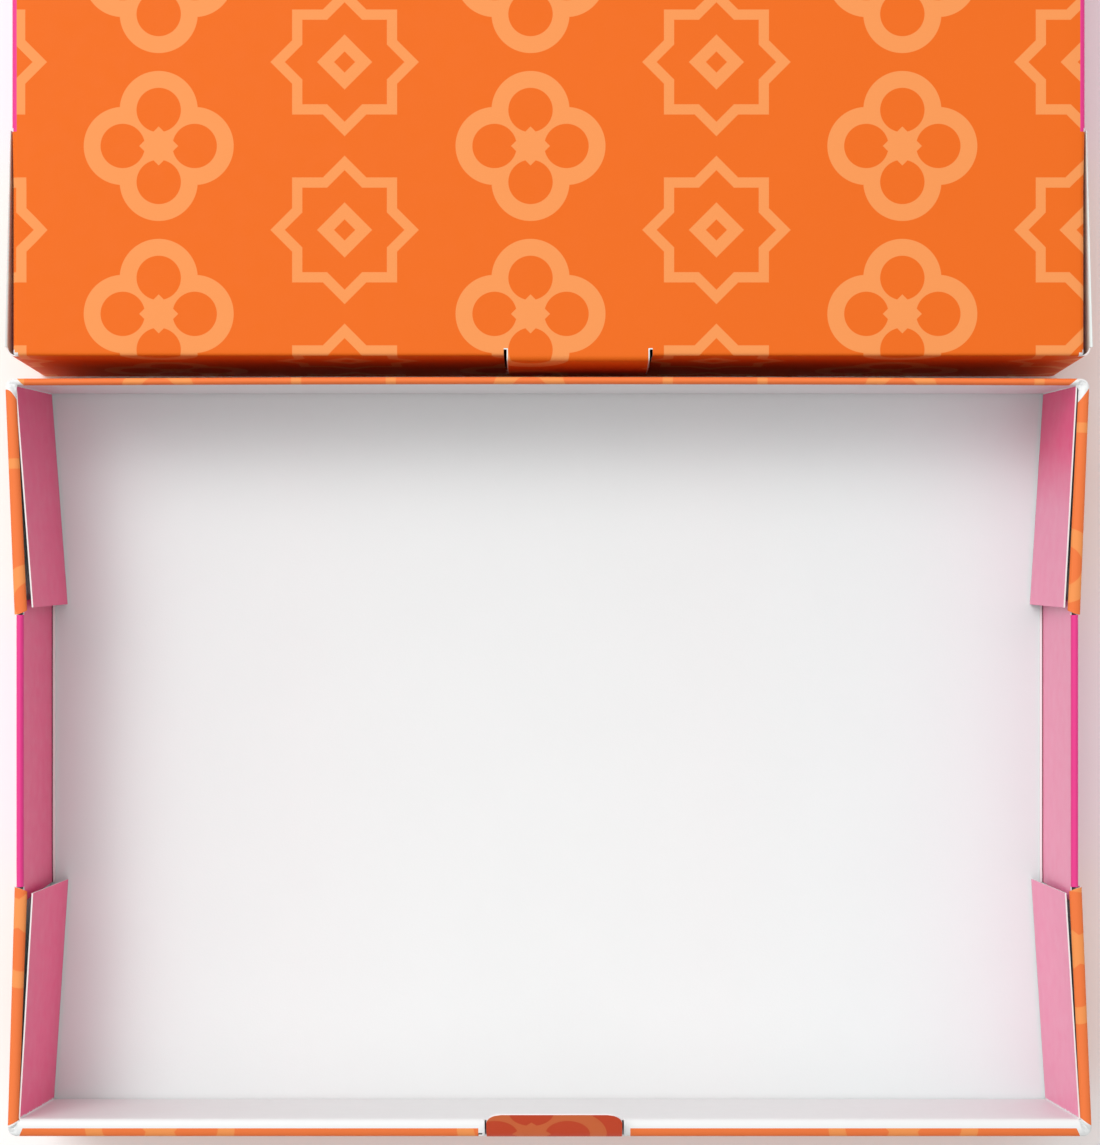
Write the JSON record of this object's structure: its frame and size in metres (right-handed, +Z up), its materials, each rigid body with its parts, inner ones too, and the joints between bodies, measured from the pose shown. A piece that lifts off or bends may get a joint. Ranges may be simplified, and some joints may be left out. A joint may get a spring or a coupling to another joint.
{
  "type": "open doughnut box",
  "caption": "Shallow folded paperboard carton in two pieces: an open base with rolled rims, corner flaps and a front tongue, and its printed lid lying right side up behind it.",
  "frame": {"origin": "centre of the base's underside, on the surface that the carton lies on", "axes": "+X along the long side to the right, +Y from the base's front tongue back to the lid, +Z up"},
  "size_m": [0.364, 0.5156, 0.0695],
  "materials": {
    "white_board": "satin, clay-coated white paperboard, the inside of both pieces",
    "orange_print": "satin orange print with a paler tonal pattern, the outside of both pieces"
  },
  "bodies": {
    "root": {"base": "white_board", "lid": "orange_print"}
  },
  "joints": []
}
